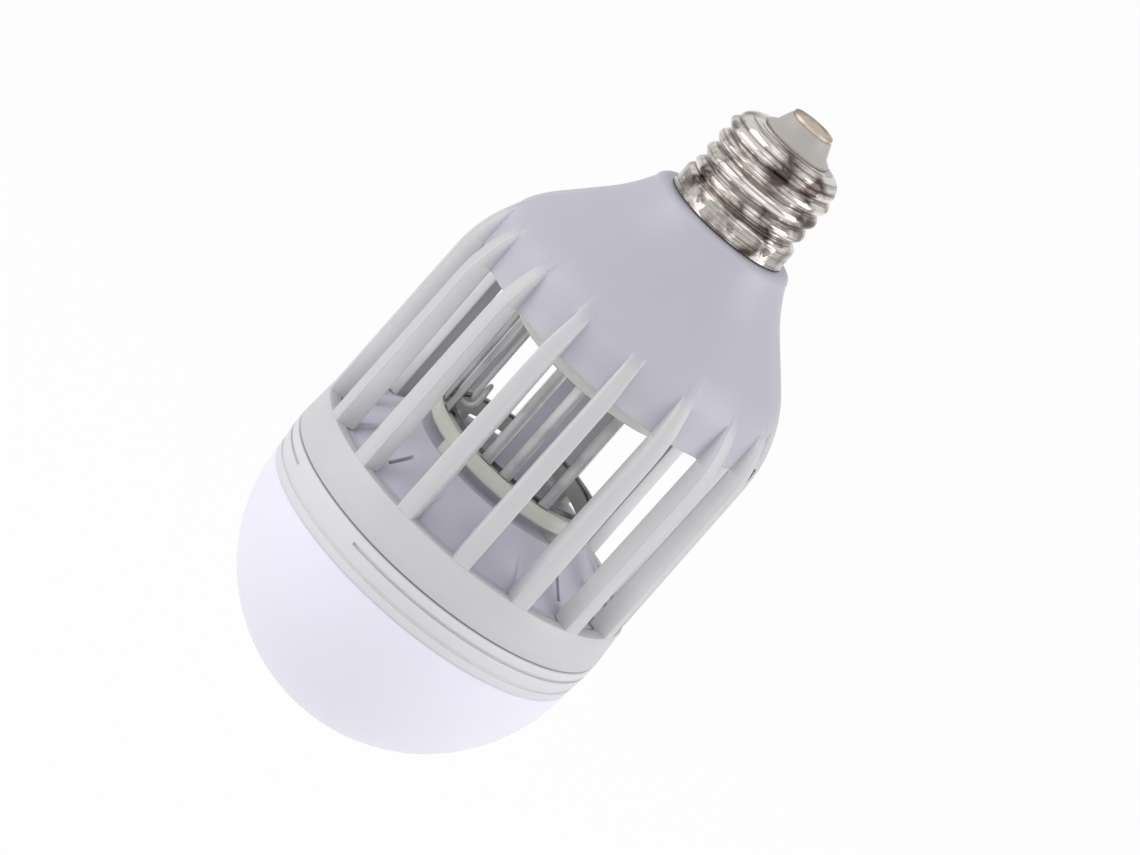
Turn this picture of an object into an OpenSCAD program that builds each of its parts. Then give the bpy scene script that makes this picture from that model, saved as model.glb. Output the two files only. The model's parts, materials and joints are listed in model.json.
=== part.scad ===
// Insect killer light bulb, cap up, as it hangs in its lampholder.
// The origin is the outer face of the centre contact, and +Z is the axis, towards the cap.

/* [Screw cap] */
// Height of the cap, from the contact face down to the rim of its skirt
cap_h = 27; // [26:0.1:29]
// Diameter over the crests of the thread
thread_d = 26.3; // [25.9:0.05:26.5]
// Depth of the thread, on the radius
thread_depth = 1.1; // [0.7:0.1:1.3]
// Rise of the thread in one turn
thread_pitch = 3.63; // [3.4:0.01:3.9]
// Thickness of the drawn sheet
cap_wall = 0.5; // [0.3:0.1:0.7]
// How far the plain skirt stands out past the crests, on the radius
skirt_step = 0.45; // [0.3:0.05:0.8]
// Height of the plain skirt
skirt_h = 5; // [4:0.1:6]
// How far the rim of the skirt flares, on the radius
skirt_flare = 0.25; // [0:0.05:0.5]
// Diameter of the cap's mouth, where the insulator comes out
mouth_d = 16; // [14:0.1:18]

/* [Insulator and contact] */
// Height that the insulator and contact stand out of the mouth
nose_h = 6; // [4.5:0.1:7]
// Diameter of the contact disc
contact_d = 10; // [8:0.1:11]
// Thickness of the contact disc
contact_t = 0.9; // [0.6:0.1:1.2]
// Diameter of the contact's stem
stem_d = 3; // [2:0.1:4]
// Depth of the insulator inside the cap
insulator_depth = 4; // [3:0.1:6]

/* [Bell] */
// Diameter of the neck under the cap
neck_d = 34.7; // [33:0.1:37]
// Radius on the rim of the neck
neck_rim_r = 2; // [1:0.1:3]
// Radius of the hollow curve below the neck
neck_curve_r = 42; // [36:0.5:45]
// Length of the straight slope between the hollow curve and the shoulder
slope_l = 10.6; // [4:0.1:12]
// Radius of the shoulder
shoulder_r = 31; // [28:0.5:32]
// Height of the bell, from the neck rim to the tops of the windows
bell_h = 35; // [33:0.1:38]
// Depth of the shoulder's start below the tops of the windows
shoulder_drop = 4.8; // [4:0.1:7]
// Thickness of the moulded wall
wall = 2; // [1.6:0.1:2.4]
// Gap between the first thread and the spigot that the cap is staked to
spigot_gap = 1; // [0.5:0.1:2]

/* [Cage] */
// Diameter over the fins at the shoulder
cage_d = 77.6; // [76:0.1:78.4]
// How far the fins lean out on their way down to the ring, on the radius
cage_draft = 0.5; // [0:0.05:1]
// How far the ring spreads from the fins' feet to the seam, on the radius
ring_draft = 0.7; // [0:0.05:1.5]
// Height of the windows
window_h = 43.8; // [40:0.1:60]
// Height of the ring below the windows
ring_h = 9; // [8:0.1:12]
// Thickness of the ring's wall
ring_t = 3.9; // [3.5:0.1:4.5]
// Number of fins
fin_n = 16; // [12:1:20]
// Width of a fin at the ring
fin_foot_w = 4.2; // [3.4:0.1:5]
// Width of a fin at the tops of the windows
fin_w = 3.5; // [2.8:0.1:4.2]
// Width of a fin at its tip, on the bell
fin_tip_w = 2.6; // [1:0.1:3]
// Depth of the wall behind the fins at the tops of the windows
recess = 3.9; // [3:0.1:4.5]

/* [Collar and dome] */
// Height of the collar
collar_h = 8.6; // [8:0.1:12]
// Thickness of the collar's wall
collar_t = 2.7; // [2.4:0.1:3]
// Width and depth of the collar's grooves
groove = 0.7; // [0.4:0.1:0.9]
// Depth of the first groove below the seam
groove_1_drop = 2.8; // [2.6:0.1:3.4]
// Depth of the second groove below the seam
groove_2_drop = 6.3; // [5:0.1:7]
// Angle of each flush pad that interrupts the first groove
pad_angle = 35; // [20:1:60]
// How much less the dome's radius is than the ring's
dome_inset = 0.6; // [0.4:0.05:1]
// Height of the diffuser dome below the collar
dome_h = 38.9; // [34:0.1:39]
// Thickness of the dome's wall
dome_t = 1.4; // [1:0.1:2]

/* [Grid] */
// Outside diameter of the rings that hold the strips
grid_d = 43; // [40:0.5:46]
// Radial width of those rings
grid_ring_w = 3.9; // [3.5:0.1:5]
// Height of those rings
grid_ring_h = 3.5; // [3.2:0.1:4.5]
// Number of strips between two feet, every second one live
group_n = 4; // [2:2:4]
// Angle between neighbouring strips
strip_step = 14.2; // [12:0.1:16]
// Width of a strip
strip_w = 2.7; // [2:0.1:3]
// Thickness of a strip
strip_t = 0.5; // [0.4:0.1:0.8]
// Height of the upper ring's feet
upper_foot_h = 2.1; // [1.5:0.1:5]
// Height of the lower ring's feet
lower_foot_h = 2.3; // [2:0.1:4]
// Number of feet on each ring
foot_n = 4; // [3:1:4]

/* [Floor and ceiling] */
// Thickness of the floor and the ceiling of the cage
plate_t = 1.8; // [1.6:0.1:2.4]
// Radius of the floor's flat top
plateau_r = 22; // [21:0.1:24]
// Rise of the floor from its rim to its flat top
floor_rise = 8.2; // [6:0.1:10]
// Width of the centre post
post_w = 9; // [8:0.1:10]

/* [Driver] */
// Gap between the driver board and the bosses that the ceiling hangs from
board_gap = 0.8; // [0.5:0.1:4]
// Thickness of the circuit boards
board_t = 1.6; // [1.2:0.1:2]
// Diameter of the bulk capacitor
capacitor_d = 8; // [6:0.1:9]
// Height of the bulk capacitor
capacitor_h = 10; // [8:0.1:12]
// Width of the step up transformer
transformer_w = 11; // [9:0.1:12]

/* [Light boards] */
// Gap between the white light board and the dome's lip
led_board_gap = 0.85; // [0.3:0.05:2]
// Number of lamps in its outer circle
led_n = 12; // [8:1:16]
// Width of a violet lamp on the post
uv_led_w = 3.5; // [2.8:0.1:4]
// Number of violet lamps on each side of the post
uv_led_n = 3; // [2:1:4]

/* [Hidden] */

// Clearances: a seam left open, a slip fit on the radius, and the play round a thin strip
seam = 0.2;
slip = 0.15;
play = 0.15;

// Facets of the turned pieces and of the small round ones
turned_fn = 128;
small_fn = 32;

// Levels down the axis, from the contact face
z_mouth = -nose_h;
z_skirt = -cap_h;
z_neck = z_skirt - seam;
z_window = z_neck - bell_h;
z_shoulder = z_window - shoulder_drop;
z_ring = z_window - window_h;
z_seam = z_ring - ring_h;
z_collar = z_seam - collar_h;
z_bottom = z_collar - dome_h;

// Cap
cap_mouth_r = mouth_d / 2;
root_r = thread_d / 2 - thread_depth;
skirt_r = thread_d / 2 + skirt_step;
z_thread_low = z_skirt + skirt_h;
cap_shoulder_h = 2.4;
flare_h = 0.6;
skirt_curl = 0.7;
z_thread_high = z_mouth - cap_shoulder_h;
thread_turns = (z_thread_high - z_thread_low) / thread_pitch;
thread_phase = 90;
cap_sides = 36;
rows_per_turn = 10;
thread_rows = ceil(thread_turns * rows_per_turn);
shoulder_rows = 6;
fade_turns = 0.3;
stem_up = 1;

// Outline of the housing: the shoulder and the hollow curve, and the straight slope between them
cage_r = cage_d / 2;
ring_top_r = cage_r + cage_draft;
ring_r = ring_top_r + ring_draft;
neck_r = neck_d / 2;
shoulder_c = [cage_r - shoulder_r, z_shoulder];
neck_edge = [neck_r, z_neck - neck_rim_r];
span = neck_edge - shoulder_c;
reach = pow(shoulder_r + neck_curve_r, 2) + pow(slope_l, 2);
neck_lean = atan2(span[1], span[0])
    - acos((reach - span * span - pow(neck_curve_r, 2)) / (2 * neck_curve_r * norm(span)));
hollow_c = neck_edge + neck_curve_r * [cos(neck_lean), sin(neck_lean)];
centres = hollow_c - shoulder_c;
slope_a = atan2(centres[1], centres[0]) - acos((shoulder_r + neck_curve_r) / norm(centres));
slope_dir = [cos(slope_a), sin(slope_a)];
slope_low = shoulder_c + shoulder_r * slope_dir;
slope_high = hollow_c - neck_curve_r * slope_dir;
recess_r = cage_r - recess;
z_fin_tip = z_shoulder + sqrt(pow(shoulder_r, 2) - pow(recess_r - shoulder_c[0], 2));
fin_step = 0.4;
fin_in_r = recess_r - fin_step;
fin_over = 2;
ring_in_r = ring_r - ring_t;
fin_a = 180 / fin_n;
foot_a = fin_a + 2 * 360 / fin_n;
spigot_r = skirt_r - cap_wall - slip;
spigot_t = 1.6;
spigot_h = skirt_h - spigot_gap;

// Ceiling of the cage, level with the tops of the windows
ceiling_r = recess_r - wall - slip;
z_ceiling = z_window + plate_t;
boss_n = 4;
boss_r = 3;
boss_inset = 1.2;
boss_c = recess_r - wall - boss_r - boss_inset;
pilot_r = 1.1;
pilot_depth = 7;
screw_head_r = 2.6;
screw_head_h = 1.4;

// Floor of the cage, held between the fins' feet and the collar
floor_r = ring_in_r - slip;
z_floor_rim = z_ring - seam;
z_plateau = z_floor_rim + floor_rise;
spigot_up = 5;
z_floor_foot = z_seam + spigot_up;
slope_foot_r = fin_in_r - seam;
fall = floor_rise / (slope_foot_r - plateau_r);
slot_r = (plateau_r + floor_r) / 2;
slot_l = 5;
slot_w = 1;
rib_w = 1.2;
rib_h = 0.8;
rib_gap = 4.3;

// Centre post
tenon_step = 0.7;
tenon_r = post_w / 2 - tenon_step;
tenon_fit = tenon_r + slip;
post_wall = 1.2;
post_bore = tenon_r - post_wall;
post_round = 1;
post_h = z_window - z_plateau;

// Grid
grid_r = grid_d / 2;
grid_edge = 0.5;
grid_in_r = grid_r - grid_ring_w;
strip_inset = 1.2;
strip_r = grid_r - strip_inset;
strip_a = foot_a + (360 / foot_n - (group_n - 1) * strip_step) / 2;
strip_grip = 2;
z_upper_ring = z_window - upper_foot_h - grid_ring_h;
z_lower_ring = z_plateau + lower_foot_h + grid_ring_h;
z_strip_low = z_lower_ring - strip_grip;
z_strip_high = z_upper_ring + strip_grip;
bus_t = 0.6;
bus_w = 1.2;
bus_step = 0.3;
bus_in_r = grid_in_r + bus_step;
bus_tab_step = 0.25;
bus_tab_w = strip_w - 2 * bus_tab_step;
foot_w = 2.4;
foot_l = 2.6;
foot_inset = 0.2;

// Collar and dome
flange_t = 2;
collar_in_r = ring_r - collar_t;
flange_step = 4;
collar_lead_in = 0.6;
dome_r = ring_r - dome_inset;
dome_c = z_bottom + dome_r;
dome_edge_r = sqrt(pow(dome_r, 2) - pow(z_collar - dome_c, 2));
dome_lip_r = collar_in_r - slip;
dome_lip_t = 1.3;
dome_lip_up = 3.4;
dome_ledge = 1.5;
dome_step = 0.3;
led_board_r = dome_lip_r - dome_lip_t - led_board_gap;
flange_w = 5;
flange_in_r = led_board_r - flange_w;

// White light board
z_led_board = z_seam - flange_t;
led_board_t = 1.5;
led_w = 2.8;
led_l = 3.5;
led_h = 0.8;
led_margin = 11.2;
led_pitch = 12.6;
led_outer_c = led_board_r - led_margin;
led_inner_c = led_outer_c - led_pitch;
led_screw_c = led_board_r - flange_w / 2;
led_screw_n = 3;
shank_r = 1.1;

// Boards on the post
uv_board_w = post_w - 2 * post_round;
uv_board_t = 1;
uv_board_gap = 2;
uv_board_h = post_h - 2 * uv_board_gap;
uv_led_h = 0.8;

// Driver
standoff_h = 1.8;
standoff_r = 2.4;
standoff_floor = 1;
board_margin = 0.8;
board_r = boss_c - boss_r - board_gap;
standoff_c = board_r - standoff_r - board_margin;
standoff_n = 3;
standoff_a = 270;
z_board = z_ceiling + standoff_h;
z_parts = z_board + board_t;
bus_lead_d = 1.2;
lead_inset = 2.2;
lead_r = bus_in_r - lead_inset;
lead_end_r = bus_in_r - slip;
lead_up = 1.5;
turn_r = 2.2;
turn_rows = 12;
turn_shift = 1.6;
mains_wire_d = 1.6;
led_wire_d = 1.3;
mains_slack = 18;
live_end = [-4, -14.5];
neutral_end = [8, 11];
bulk_c = [-9, -8];
part_gap = 0.3;
transformer_c = [lead_r - bus_lead_d / 2 - part_gap - transformer_w / 2, -1];
film_c = [-5.5, 6.2];
film_size = [9, 4, 7];
film_gap = 0.6;
choke_r = 3.5;
choke_c = [transformer_c[0], transformer_c[1] - transformer_w / 2 - part_gap - choke_r];
choke_h = 6;
chip_size = [4, 5, 1.6];
chip_gap = 2.8;
chip_c = [choke_c[0] - choke_r - chip_gap - chip_size[0] / 2,
    choke_c[1] + choke_r - part_gap - chip_size[1] / 2];
fuse_c = [3, 8];
fuse_h = 6;
diode_c = [-3.9, 13.3];
diode_pitch = 2.6;

// Copies of the children round the axis, at radius r
module around(n, r = 0, start = 0) {
    for (i = [0:n - 1])
        rotate([0, 0, start + i * 360 / n]) translate([r, 0, 0]) children();
}

// A ring turned round the axis, from radius r1 to r2 and from level z1 up to z2
module turned_ring(r1, r2, z1, z2) {
    rotate_extrude($fn = turned_fn) translate([r1, z1]) square([r2 - r1, z2 - z1]);
}

// A round wire through a list of points, and a curve with four control points
wire_sides = 8;
wire_rows = 12;
function curve(p) = [for (i = [0:wire_rows]) let (u = i / wire_rows)
    pow(1 - u, 3) * p[0] + 3 * u * pow(1 - u, 2) * p[1] + 3 * u * u * (1 - u) * p[2] + pow(u, 3) * p[3]];
function unit(v) = v / norm(v);
function tangent(path, i) = unit(path[min(i + 1, len(path) - 1)] - path[max(i - 1, 0)]);
function wire_side(t) = unit(cross(t, [0.1, 1, 0]));
function ring_points(c, t, r) = let (s = wire_side(t), q = unit(cross(t, s)))
    [for (k = [0:wire_sides - 1]) let (a = k * 360 / wire_sides) c + r * (cos(a) * s + sin(a) * q)];

// Triangles between the rows of a tube, with an end face at each end
function tube_faces(rows, sides) = concat(
    [[for (k = [0:sides - 1]) k]],
    [for (i = [0:rows - 2], k = [0:sides - 1]) [i * sides + k, (i + 1) * sides + k,
        i * sides + (k + 1) % sides]],
    [for (i = [0:rows - 2], k = [0:sides - 1]) [i * sides + (k + 1) % sides, (i + 1) * sides + k,
        (i + 1) * sides + (k + 1) % sides]],
    [[for (k = [sides - 1:-1:0]) (rows - 1) * sides + k]]
);

module wire(path, d) {
    n = len(path);
    polyhedron(
        points = [for (i = [0:n - 1]) each ring_points(path[i], tangent(path, i), d / 2)],
        faces = tube_faces(n, wire_sides)
    );
}

// Screw cap

// Each row of the cap is its level, its plain radius and its share of the thread
function fade(z) = min(1, (z - z_thread_low) / (fade_turns * thread_pitch),
    (z_thread_high - z) / (fade_turns * thread_pitch));
function cap_rows(inset) = concat(
    [[z_skirt, skirt_r + skirt_flare - inset, 0], [z_skirt + flare_h, skirt_r - inset, 0],
        [z_thread_low - skirt_curl, skirt_r - inset, 0]],
    [for (i = [0:thread_rows]) let (z = z_thread_low + i * (z_thread_high - z_thread_low) / thread_rows)
        [z, root_r - inset, fade(z)]],
    [for (i = [1:shoulder_rows]) let (a = i * 90 / shoulder_rows)
        [z_thread_high + (cap_shoulder_h - inset) * sin(a),
            cap_mouth_r + (root_r - cap_mouth_r - inset) * cos(a), 0]]
);
function cap_ring(row) = [for (k = [0:cap_sides - 1]) let (a = k * 360 / cap_sides,
    wave = 0.5 + 0.5 * cos(a - 360 * row[0] / thread_pitch - thread_phase),
    r = row[1] + row[2] * thread_depth * wave) [r * cos(a), r * sin(a), row[0]]];
function reversed(list) = [for (i = [len(list) - 1:-1:0]) list[i]];

module screw_cap() {
    rows = concat(cap_rows(0), reversed(cap_rows(cap_wall)));
    n = len(rows);
    color("silver") polyhedron(
        points = [for (row = rows) each cap_ring(row)],
        faces = [for (i = [0:n - 1], k = [0:cap_sides - 1], side = [0, 1]) let (
            here = i * cap_sides, next = ((i + 1) % n) * cap_sides, k2 = (k + 1) % cap_sides)
            side == 0 ? [here + k, next + k, here + k2] : [here + k2, next + k, next + k2]]
    );
}

// The insulator's cone fills the mouth and spreads under the cap's shoulder
module cap_insulator() {
    in_r = root_r - cap_wall - slip;
    z_under = z_thread_high - seam;
    color("gainsboro") difference() {
        rotate_extrude($fn = turned_fn) polygon([
            [0, -contact_t], [contact_d / 2 + 0.3, -contact_t], [contact_d / 2 + 0.6, -contact_t - 0.4],
            [cap_mouth_r - 1.1, z_mouth + 1.6], [cap_mouth_r - slip, z_mouth],
            [cap_mouth_r - slip, z_mouth - cap_wall - seam], [in_r - 1.8, z_mouth - cap_wall - 1.2],
            [in_r, z_under - 0.6], [in_r, z_thread_high - insulator_depth],
            [0, z_thread_high - insulator_depth]
        ]);
        translate([0, 0, z_skirt]) cylinder(r = stem_d / 2 + slip, h = cap_h, $fn = small_fn);
    }
}

module centre_contact() {
    color("tan") union() {
        rotate_extrude($fn = turned_fn) polygon([
            [0, -contact_t], [contact_d / 2, -contact_t], [contact_d / 2, -contact_t + 0.4],
            [contact_d / 2 - 0.5, 0], [0, 0]
        ]);
        translate([0, 0, z_thread_high - insulator_depth - stem_up])
            cylinder(r = stem_d / 2, h = insulator_depth + stem_up - z_thread_high - contact_t / 2,
                $fn = small_fn);
    }
}

// Half section of the bell and cage, taken in by inset
module body_section(inset) {
    difference() {
        union() {
            polygon([
                [0, z_seam], [ring_r - inset, z_seam], [ring_top_r - inset, z_ring],
                [cage_r - inset, z_shoulder], [0, z_shoulder]
            ]);
            intersection() {
                translate(shoulder_c) circle(r = shoulder_r - inset, $fn = turned_fn);
                translate([0, z_shoulder]) square([cage_r, -z_shoulder]);
            }
            polygon([
                [0, z_shoulder], slope_low - inset * slope_dir, slope_high - inset * slope_dir,
                neck_edge + [neck_curve_r / 2, 0], neck_edge, [0, neck_edge[1]]
            ]);
            neck_rim_section(inset);
        }
        translate(hollow_c) circle(r = neck_curve_r + inset, $fn = turned_fn);
    }
}

// The rim of the neck, rounded outside
module neck_rim_section(inset) {
    translate([0, z_neck - neck_rim_r - 1])
        square([neck_r - neck_rim_r - inset, neck_rim_r + 1 - inset]);
    intersection() {
        translate([neck_r - neck_rim_r - inset, z_neck - neck_rim_r - inset])
            circle(r = neck_rim_r, $fn = small_fn * 2);
        translate([0, z_neck - neck_rim_r - inset]) square([neck_r, neck_rim_r]);
    }
}

// Half section of the housing: the outline less the space inside it, with the cap's spigot on the neck
module housing_section() {
    difference() {
        union() {
            body_section(0);
            translate([0, z_neck - wall]) square([spigot_r, wall + spigot_h]);
        }
        intersection() {
            body_section(wall);
            translate([0, z_window - 1]) square([recess_r - wall, -z_window]);
        }
        translate([0, z_ring - 1]) square([fin_in_r, window_h + 1]);
        translate([0, z_seam - 1]) square([ring_in_r, ring_h + 1]);
        translate([0, z_neck - 3 * wall]) square([spigot_r - spigot_t, 3 * wall + 2 * spigot_h]);
    }
}

// One fin: a flat blade, narrowing upwards to its tip, and running past all that it meets
module fin_blade() {
    rotate([90, 0, 90]) linear_extrude(height = ring_r - fin_in_r + 2 * fin_over) polygon([
        [-fin_foot_w / 2, z_ring - fin_over], [-fin_w / 2, z_window + fin_over],
        [-fin_tip_w / 2, z_fin_tip + fin_over], [fin_tip_w / 2, z_fin_tip + fin_over],
        [fin_w / 2, z_window + fin_over], [fin_foot_w / 2, z_ring - fin_over]
    ]);
}

// What is cut away between the fins: the windows, and above them a recess that fades into the bell
module gaps() {
    difference() {
        rotate_extrude($fn = turned_fn) polygon([
            [fin_in_r - 1, z_ring], [ring_r + 1, z_ring], [ring_r + 1, z_fin_tip + 1],
            [recess_r, z_fin_tip + 1], [recess_r, z_window], [fin_in_r - 1, z_window]
        ]);
        around(fin_n, fin_in_r - fin_over, fin_a) fin_blade();
    }
}

// Bosses hang from the bell for the ceiling's screws
module ceiling_bosses() {
    difference() {
        intersection() {
            around(boss_n, boss_c, fin_a) translate([0, 0, z_ceiling])
                cylinder(r = boss_r, h = bell_h, $fn = small_fn);
            rotate_extrude($fn = turned_fn) body_section(wall / 2);
        }
        around(boss_n, boss_c, fin_a) translate([0, 0, z_ceiling - 1])
            cylinder(r = pilot_r, h = pilot_depth + 1, $fn = small_fn);
    }
}

module cage_housing() {
    color("lavender") union() {
        difference() {
            rotate_extrude($fn = turned_fn) housing_section();
            gaps();
        }
        ceiling_bosses();
    }
}

// Ceiling plate, with stand-offs for the driver board on top
module cage_ceiling() {
    color("lavender") difference() {
        union() {
            translate([0, 0, z_window]) cylinder(r = ceiling_r, h = plate_t, $fn = turned_fn);
            around(standoff_n, standoff_c, standoff_a) translate([0, 0, z_window])
                cylinder(r = standoff_r, h = plate_t + standoff_h, $fn = small_fn);
        }
        translate([0, 0, z_window - 1]) cylinder(r = tenon_fit, h = plate_t + 2, $fn = small_fn);
        around(boss_n, boss_c, fin_a) translate([0, 0, z_window - 1])
            cylinder(r = pilot_r + slip, h = plate_t + 2, $fn = small_fn);
        around(standoff_n, standoff_c, standoff_a) translate([0, 0, z_window + standoff_floor])
            cylinder(r = pilot_r, h = plate_t + standoff_h, $fn = small_fn);
        around(2, lead_r) translate([0, 0, z_window - 1])
            cylinder(r = bus_lead_d / 2 + slip, h = plate_t + 2, $fn = small_fn);
    }
}

// A pan head screw that points up, its head's seat at level 0
module screw_up(length) {
    translate([0, 0, -screw_head_h]) cylinder(r = screw_head_r, h = screw_head_h, $fn = small_fn);
    cylinder(r = shank_r, h = length, $fn = small_fn);
}

module ceiling_screws() {
    color("silver") around(boss_n, boss_c, fin_a) translate([0, 0, z_window])
        screw_up(plate_t + pilot_depth - 1);
}

// Floor: a flat top, a slope that sheds what falls on it, and a rim down to the collar
module floor_section() {
    polygon([
        [0, z_plateau], [plateau_r, z_plateau], [slope_foot_r, z_floor_rim],
        [floor_r, z_floor_rim], [floor_r, z_floor_foot], [floor_r - plate_t, z_floor_foot],
        [floor_r - plate_t, z_floor_rim - plate_t], [plateau_r - plate_t / 2, z_plateau - plate_t],
        [0, z_plateau - plate_t]
    ]);
}

// Low rib on the slope, in line with a fin that has no slot before it
module floor_rib() {
    high_r = plateau_r + rib_gap;
    z_high = z_plateau - fall * rib_gap;
    rotate([90, 0, 0]) translate([0, 0, -rib_w / 2]) linear_extrude(height = rib_w) polygon([
        [high_r, z_high - plate_t / 2], [slope_foot_r, z_floor_rim - plate_t / 2],
        [slope_foot_r, z_floor_rim + rib_h], [high_r, z_high]
    ]);
}

module cage_floor() {
    color("lavender") difference() {
        union() {
            rotate_extrude($fn = turned_fn) floor_section();
            for (k = [1:fin_n / foot_n - 1]) around(foot_n, 0, foot_a + k * 2 * fin_a) floor_rib();
        }
        translate([0, 0, z_plateau - 2 * plate_t])
            cylinder(r = tenon_fit, h = 3 * plate_t, $fn = small_fn);
        around(foot_n, slot_r, foot_a) translate([0, 0, z_plateau - floor_rise / 2])
            cube([slot_l, slot_w, 2 * floor_rise], center = true);
    }
}

// Copies of the children at every second strip, from the first or the second strip between two feet
module at_strips(first) {
    for (k = [first:2:group_n - 1]) around(foot_n, strip_r, strip_a + k * strip_step) children();
}

// Grid ring, with slots for the strips on its upper face and feet below
module grid_ring(foot_h) {
    difference() {
        union() {
            rotate_extrude($fn = turned_fn) polygon([
                [grid_in_r, -grid_ring_h], [grid_r - grid_edge, -grid_ring_h],
                [grid_r, -grid_ring_h + grid_edge],
                [grid_r, -grid_edge], [grid_r - grid_edge, 0], [grid_in_r, 0]
            ]);
            around(foot_n, grid_r - foot_l / 2 - foot_inset, foot_a)
                translate([-foot_l / 2, -foot_w / 2, -grid_ring_h - foot_h])
                    cube([foot_l, foot_w, foot_h + 1]);
        }
        for (first = [0, 1]) at_strips(first)
            cube([strip_t + 2 * play, strip_w + 2 * play, 2 * (strip_grip + play)], center = true);
    }
}

module grid_lower_ring() {
    color("ivory") translate([0, 0, z_lower_ring]) grid_ring(lower_foot_h);
}

module grid_upper_ring() {
    color("ivory") translate([0, 0, z_upper_ring]) mirror([0, 0, 1]) grid_ring(upper_foot_h);
}

// Bus ring: a thin ring with a tab to every second strip
module bus_ring(first) {
    tab_l = strip_r - strip_t / 2 - bus_in_r - bus_w / 2;
    union() {
        turned_ring(bus_in_r, bus_in_r + bus_w, 0, bus_t);
        at_strips(first) translate([-strip_t / 2 - tab_l, -bus_tab_w / 2, 0])
            cube([tab_l, bus_tab_w, bus_t]);
    }
}

module return_bus_ring() {
    color("silver") translate([0, 0, z_lower_ring]) bus_ring(1);
}

module live_bus_ring() {
    color("silver") translate([0, 0, z_upper_ring - bus_t]) bus_ring(0);
}

// The flat strips of one polarity
module grid_strips(first) {
    at_strips(first) translate([-strip_t / 2, -strip_w / 2, z_strip_low])
        cube([strip_t, strip_w, z_strip_high - z_strip_low]);
}

module grid_strips_live() {
    color("silver") grid_strips(0);
}

module grid_strips_return() {
    color("silver") grid_strips(1);
}

// Centre post, square with rounded corners, with a round tenon at each end
module post_section() {
    flat = post_w - 2 * post_round;
    square([post_w, flat], center = true);
    square([flat, post_w], center = true);
    for (x = [-1, 1], y = [-1, 1])
        translate([x * flat / 2, y * flat / 2]) circle(r = post_round, $fn = small_fn);
}

module uv_post() {
    color("lavender") difference() {
        union() {
            translate([0, 0, z_plateau]) linear_extrude(height = post_h) post_section();
            translate([0, 0, z_plateau - plate_t])
                cylinder(r = tenon_r, h = post_h + 2 * plate_t, $fn = small_fn);
        }
        translate([0, 0, z_plateau - plate_t - 1])
            cylinder(r = post_bore, h = post_h + 2 * plate_t + 2, $fn = small_fn);
    }
}

module uv_led_boards() {
    color("white") around(2, post_w / 2)
        translate([0, -uv_board_w / 2, z_plateau + uv_board_gap])
            cube([uv_board_t, uv_board_w, uv_board_h]);
}

module uv_leds() {
    pitch = uv_board_h / uv_led_n;
    color("mediumpurple") around(2, post_w / 2 + uv_board_t)
        for (i = [0:uv_led_n - 1])
            translate([0, -uv_led_w / 2,
                z_plateau + uv_board_gap + (i + 0.5) * pitch - uv_led_w / 2])
                cube([uv_led_h, uv_led_w, uv_led_w]);
}

// Collar: outer wall with two grooves, a flange for the light board and a spigot up into the cage
module collar_section() {
    polygon([
        [collar_in_r, z_collar], [dome_edge_r, z_collar], [ring_r, z_seam - groove_1_drop],
        [ring_r, z_seam - collar_lead_in], [ring_r - collar_lead_in, z_seam], [ring_in_r, z_seam],
        [ring_in_r - slip, z_seam], [ring_in_r - slip, z_floor_foot],
        [ring_in_r - slip - plate_t, z_floor_foot], [flange_in_r + flange_step, z_seam],
        [flange_in_r, z_seam], [flange_in_r, z_seam - flange_t], [collar_in_r, z_seam - flange_t]
    ]);
}

module groove_cut(drop, angle) {
    rotate_extrude(angle = angle, $fn = turned_fn)
        translate([ring_r - groove, z_seam - drop - groove / 2]) square([groove + 1, groove]);
}

module collar() {
    open_a = 180 - pad_angle;
    color("lavender") difference() {
        rotate_extrude($fn = turned_fn) collar_section();
        for (side = [0, 180])
            rotate([0, 0, foot_a + side + pad_angle / 2]) groove_cut(groove_1_drop, open_a);
        groove_cut(groove_2_drop, 360);
        around(led_screw_n, led_screw_c, foot_a) translate([0, 0, z_led_board - 1])
            cylinder(r = shank_r, h = flange_t + 2, $fn = small_fn);
    }
}

module led_board() {
    color("silver") difference() {
        translate([0, 0, z_led_board - led_board_t])
            cylinder(r = led_board_r, h = led_board_t, $fn = turned_fn);
        around(led_screw_n, led_screw_c, foot_a) translate([0, 0, z_led_board - led_board_t - 1])
            cylinder(r = shank_r + slip, h = led_board_t + 2, $fn = small_fn);
        translate([0, 0, z_led_board - led_board_t - 1])
            cylinder(r = led_wire_d + slip, h = led_board_t + 2, $fn = small_fn);
    }
}

module white_leds() {
    color("gold") {
        around(led_n, led_outer_c) translate([0, 0, z_led_board - led_board_t - led_h / 2])
            cube([led_w, led_l, led_h], center = true);
        around(led_n / 2, led_inner_c) translate([0, 0, z_led_board - led_board_t - led_h / 2])
            cube([led_w, led_l, led_h], center = true);
    }
}

module led_board_screws() {
    color("silver") around(led_screw_n, led_screw_c, foot_a)
        translate([0, 0, z_led_board - led_board_t]) screw_up(led_board_t + flange_t - 0.3);
}

// Dome: a thin ball cut off at the collar, with a ledge and a lip that snaps inside it
module diffuser_dome() {
    color("white") rotate_extrude($fn = turned_fn) union() {
        intersection() {
            translate([0, dome_c]) difference() {
                circle(r = dome_r, $fn = turned_fn);
                circle(r = dome_r - dome_t, $fn = turned_fn);
            }
            translate([0, z_bottom]) square([dome_r, dome_h]);
        }
        translate([dome_lip_r - dome_lip_t, z_collar - dome_ledge])
            square([dome_edge_r - dome_step - dome_lip_r + dome_lip_t, dome_ledge]);
        translate([dome_lip_r - dome_lip_t, z_collar - dome_ledge])
            square([dome_lip_t, dome_ledge + dome_lip_up]);
    }
}

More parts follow.
